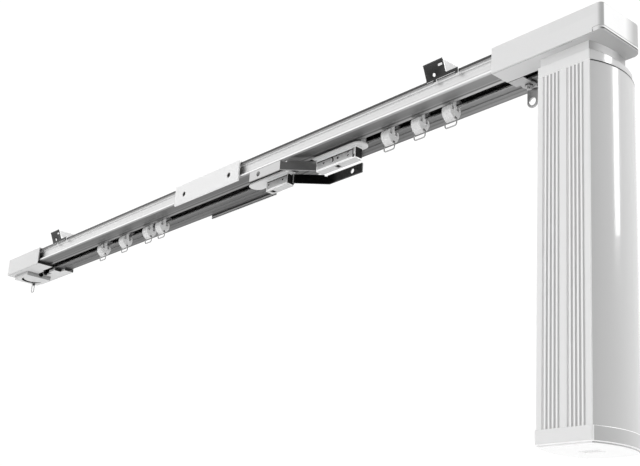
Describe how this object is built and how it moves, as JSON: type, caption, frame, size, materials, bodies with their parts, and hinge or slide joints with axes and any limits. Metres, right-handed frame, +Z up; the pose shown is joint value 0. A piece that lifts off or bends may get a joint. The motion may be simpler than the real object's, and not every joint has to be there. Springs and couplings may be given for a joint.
{
  "type": "electric curtain track",
  "caption": "Ceiling-mounted motorised curtain track: jointed aluminium channel, hanging ribbed motor with belt drive, overlapping carriers, roller gliders and spring clamps.",
  "frame": {"origin": "on the ceiling, midway between the two ceiling clamps' screw holes", "axes": "+X along the track towards the motor, +Y from the room to the window, +Z up"},
  "size_m": [0.9465, 0.075, 0.3281],
  "materials": {
    "anodised": "satin silver anodised",
    "belt_rubber": "smooth black",
    "black_steel": "satin black",
    "board": "solder mask green",
    "cast_grey": "die cast",
    "clamp_steel": "dark polished spring steel",
    "dark_plastic": "fine matte black",
    "nylon": "translucent nylon",
    "screw": "bright zinc",
    "steel": "turned steel",
    "white_matte": "fine matte white",
    "white_plastic": "smooth white",
    "wire": "bright wire",
    "zinc": "zinc plated"
  },
  "bodies": {
    "frame": {"track_left": "anodised", "track_right": "anodised", "track_joiner": "white_plastic", "joiner_screws": "black_steel", "ceiling_clamp_left": "clamp_steel", "ceiling_clamp_right": "clamp_steel", "drive_cover": "white_plastic", "drive_base": "white_plastic", "housing_screws": "screw", "shaft_bearing": "steel", "drive_belt": "belt_rubber", "idler_cover": "white_plastic", "idler_base": "white_plastic", "idler_axle": "steel", "motor_top_cap": "white_plastic", "motor_body": "white_matte", "motor_bottom_cap": "white_plastic", "motor_can": "steel", "gearbox": "cast_grey", "control_board": "board", "power_inlet": "dark_plastic", "end_hook": "zinc", "end_hook_screw": "screw"},
    "drive_rotor": {"drive_pulley": "nylon", "output_shaft": "steel"},
    "idler_rotor": {"idler_pulley": "nylon"},
    "end_loop": {"end_ring": "wire"},
    "carrier_right": {"carrier_right_body": "white_matte", "carrier_right_hanger": "zinc", "carrier_right_arm": "zinc", "carrier_right_clip": "nylon"},
    "carrier_right_roll_a": {"carrier_right_wheels_a": "nylon"},
    "carrier_right_roll_b": {"carrier_right_wheels_b": "nylon"},
    "carrier_left": {"carrier_left_body": "white_matte", "carrier_left_hanger": "zinc", "carrier_left_arm": "black_steel", "carrier_left_clip": "nylon"},
    "carrier_left_roll_a": {"carrier_left_wheels_a": "nylon"},
    "carrier_left_roll_b": {"carrier_left_wheels_b": "nylon"},
    "glider_right_1": {"glider_right_1": "nylon"},
    "glider_right_1_roll": {"glider_right_1_wheels": "nylon"},
    "glider_right_1_loop": {"glider_right_1_ring": "wire"},
    "glider_right_2": {"glider_right_2": "nylon"},
    "glider_right_2_roll": {"glider_right_2_wheels": "nylon"},
    "glider_right_2_loop": {"glider_right_2_ring": "wire"},
    "glider_right_3": {"glider_right_3": "nylon"},
    "glider_right_3_roll": {"glider_right_3_wheels": "nylon"},
    "glider_right_3_loop": {"glider_right_3_ring": "wire"},
    "glider_left_1": {"glider_left_1": "nylon"},
    "glider_left_1_roll": {"glider_left_1_wheels": "nylon"},
    "glider_left_1_loop": {"glider_left_1_ring": "wire"},
    "glider_left_2": {"glider_left_2": "nylon"},
    "glider_left_2_roll": {"glider_left_2_wheels": "nylon"},
    "glider_left_2_loop": {"glider_left_2_ring": "wire"},
    "glider_left_3": {"glider_left_3": "nylon"},
    "glider_left_3_roll": {"glider_left_3_wheels": "nylon"},
    "glider_left_3_loop": {"glider_left_3_ring": "wire"},
    "glider_left_4": {"glider_left_4": "nylon"},
    "glider_left_4_roll": {"glider_left_4_wheels": "nylon"},
    "glider_left_4_loop": {"glider_left_4_ring": "wire"}
  },
  "joints": [
    {"name": "open_right", "type": "slide", "parent": "frame", "child": "carrier_right", "axis": [1, 0, 0], "range_m": [0, 0.11]},
    {"name": "open_left", "type": "slide", "parent": "frame", "child": "carrier_left", "axis": [1, 0, 0], "range_m": [-0.11, 0]},
    {"name": "drive_turn", "type": "hinge", "parent": "frame", "child": "drive_rotor", "pos_m": [0.4485, 0, -0.019], "axis": [0, 0, 1], "range_deg": [0, 376.32]},
    {"name": "idler_turn", "type": "hinge", "parent": "frame", "child": "idler_rotor", "pos_m": [-0.438, 0, -0.019], "axis": [0, 0, 1], "range_deg": [0, 376.32]},
    {"name": "carrier_right_roll_a", "type": "hinge", "parent": "carrier_right", "child": "carrier_right_roll_a", "pos_m": [0.1665, 0, -0.0231], "axis": [0, 1, 0], "range_deg": [0, 1750.75]},
    {"name": "carrier_right_roll_b", "type": "hinge", "parent": "carrier_right", "child": "carrier_right_roll_b", "pos_m": [0.2045, 0, -0.0231], "axis": [0, 1, 0], "range_deg": [0, 1750.75]},
    {"name": "carrier_left_roll_a", "type": "hinge", "parent": "carrier_left", "child": "carrier_left_roll_a", "pos_m": [0.096, 0, -0.0231], "axis": [0, 1, 0], "range_deg": [-1750.75, 0]},
    {"name": "carrier_left_roll_b", "type": "hinge", "parent": "carrier_left", "child": "carrier_left_roll_b", "pos_m": [0.058, 0, -0.0231], "axis": [0, 1, 0], "range_deg": [-1750.75, 0]},
    {"name": "glider_right_1_slide", "type": "slide", "parent": "frame", "child": "glider_right_1", "axis": [1, 0, 0], "range_m": [0, 0.09]},
    {"name": "glider_right_1_roll", "type": "hinge", "parent": "glider_right_1", "child": "glider_right_1_roll", "pos_m": [0.247, 0, -0.0231], "axis": [0, 1, 0], "range_deg": [0, 1432.48]},
    {"name": "glider_right_1_swing", "type": "hinge", "parent": "glider_right_1", "child": "glider_right_1_loop", "pos_m": [0.247, 0, -0.0397], "axis": [1, 0, 0], "range_deg": [-80, 80]},
    {"name": "glider_right_2_slide", "type": "slide", "parent": "frame", "child": "glider_right_2", "axis": [1, 0, 0], "range_m": [0, 0.069]},
    {"name": "glider_right_2_roll", "type": "hinge", "parent": "glider_right_2", "child": "glider_right_2_roll", "pos_m": [0.284, 0, -0.0231], "axis": [0, 1, 0], "range_deg": [0, 1098.27]},
    {"name": "glider_right_2_swing", "type": "hinge", "parent": "glider_right_2", "child": "glider_right_2_loop", "pos_m": [0.284, 0, -0.0397], "axis": [1, 0, 0], "range_deg": [-80, 80]},
    {"name": "glider_right_3_slide", "type": "slide", "parent": "frame", "child": "glider_right_3", "axis": [1, 0, 0], "range_m": [0, 0.04901]},
    {"name": "glider_right_3_roll", "type": "hinge", "parent": "glider_right_3", "child": "glider_right_3_roll", "pos_m": [0.32, 0, -0.0231], "axis": [0, 1, 0], "range_deg": [0, 779.99]},
    {"name": "glider_right_3_swing", "type": "hinge", "parent": "glider_right_3", "child": "glider_right_3_loop", "pos_m": [0.32, 0, -0.0397], "axis": [1, 0, 0], "range_deg": [-80, 80]},
    {"name": "glider_left_1_slide", "type": "slide", "parent": "frame", "child": "glider_left_1", "axis": [1, 0, 0], "range_m": [-0.0591, 0]},
    {"name": "glider_left_1_roll", "type": "hinge", "parent": "glider_left_1", "child": "glider_left_1_roll", "pos_m": [-0.119, 0, -0.0231], "axis": [0, 1, 0], "range_deg": [-940.7, 0]},
    {"name": "glider_left_1_swing", "type": "hinge", "parent": "glider_left_1", "child": "glider_left_1_loop", "pos_m": [-0.119, 0, -0.0397], "axis": [1, 0, 0], "range_deg": [-80, 80]},
    {"name": "glider_left_2_slide", "type": "slide", "parent": "frame", "child": "glider_left_2", "axis": [1, 0, 0], "range_m": [-0.05277, 0]},
    {"name": "glider_left_2_roll", "type": "hinge", "parent": "glider_left_2", "child": "glider_left_2_roll", "pos_m": [-0.146, 0, -0.0231], "axis": [0, 1, 0], "range_deg": [-839.86, 0]},
    {"name": "glider_left_2_swing", "type": "hinge", "parent": "glider_left_2", "child": "glider_left_2_loop", "pos_m": [-0.146, 0, -0.0397], "axis": [1, 0, 0], "range_deg": [-80, 80]},
    {"name": "glider_left_3_slide", "type": "slide", "parent": "frame", "child": "glider_left_3", "axis": [1, 0, 0], "range_m": [-0.04058, 0]},
    {"name": "glider_left_3_roll", "type": "hinge", "parent": "glider_left_3", "child": "glider_left_3_roll", "pos_m": [-0.198, 0, -0.0231], "axis": [0, 1, 0], "range_deg": [-645.88, 0]},
    {"name": "glider_left_3_swing", "type": "hinge", "parent": "glider_left_3", "child": "glider_left_3_loop", "pos_m": [-0.198, 0, -0.0397], "axis": [1, 0, 0], "range_deg": [-80, 80]},
    {"name": "glider_left_4_slide", "type": "slide", "parent": "frame", "child": "glider_left_4", "axis": [1, 0, 0], "range_m": [-0.02885, 0]},
    {"name": "glider_left_4_roll", "type": "hinge", "parent": "glider_left_4", "child": "glider_left_4_roll", "pos_m": [-0.248, 0, -0.0231], "axis": [0, 1, 0], "range_deg": [-459.26, 0]},
    {"name": "glider_left_4_swing", "type": "hinge", "parent": "glider_left_4", "child": "glider_left_4_loop", "pos_m": [-0.248, 0, -0.0397], "axis": [1, 0, 0], "range_deg": [-80, 80]},
    {"name": "end_ring_swing", "type": "hinge", "parent": "frame", "child": "end_loop", "pos_m": [-0.447, 0.008, -0.0388], "axis": [1, 0, 0], "range_deg": [-80, 80]}
  ],
  "couplings": [
    {"joint": "open_left", "follows": "open_right", "ratio": -1},
    {"joint": "drive_turn", "follows": "open_right", "rad_per_m": 59.702},
    {"joint": "idler_turn", "follows": "open_right", "rad_per_m": 59.702},
    {"joint": "carrier_right_roll_a", "follows": "open_right", "rad_per_m": 277.78},
    {"joint": "carrier_right_roll_b", "follows": "open_right", "rad_per_m": 277.78},
    {"joint": "carrier_left_roll_a", "follows": "open_right", "rad_per_m": -277.78},
    {"joint": "carrier_left_roll_b", "follows": "open_right", "rad_per_m": -277.78},
    {"joint": "glider_right_1_slide", "follows": "open_right", "ratio": 0.8182},
    {"joint": "glider_right_1_roll", "follows": "open_right", "rad_per_m": 227.28},
    {"joint": "glider_right_2_slide", "follows": "open_right", "ratio": 0.6273},
    {"joint": "glider_right_2_roll", "follows": "open_right", "rad_per_m": 174.25},
    {"joint": "glider_right_3_slide", "follows": "open_right", "ratio": 0.4455},
    {"joint": "glider_right_3_roll", "follows": "open_right", "rad_per_m": 123.75},
    {"joint": "glider_left_1_slide", "follows": "open_right", "ratio": -0.5373},
    {"joint": "glider_left_1_roll", "follows": "open_right", "rad_per_m": -149.25},
    {"joint": "glider_left_2_slide", "follows": "open_right", "ratio": -0.4797},
    {"joint": "glider_left_2_roll", "follows": "open_right", "rad_per_m": -133.25},
    {"joint": "glider_left_3_slide", "follows": "open_right", "ratio": -0.3689},
    {"joint": "glider_left_3_roll", "follows": "open_right", "rad_per_m": -102.47},
    {"joint": "glider_left_4_slide", "follows": "open_right", "ratio": -0.2623},
    {"joint": "glider_left_4_roll", "follows": "open_right", "rad_per_m": -72.861}
  ]
}
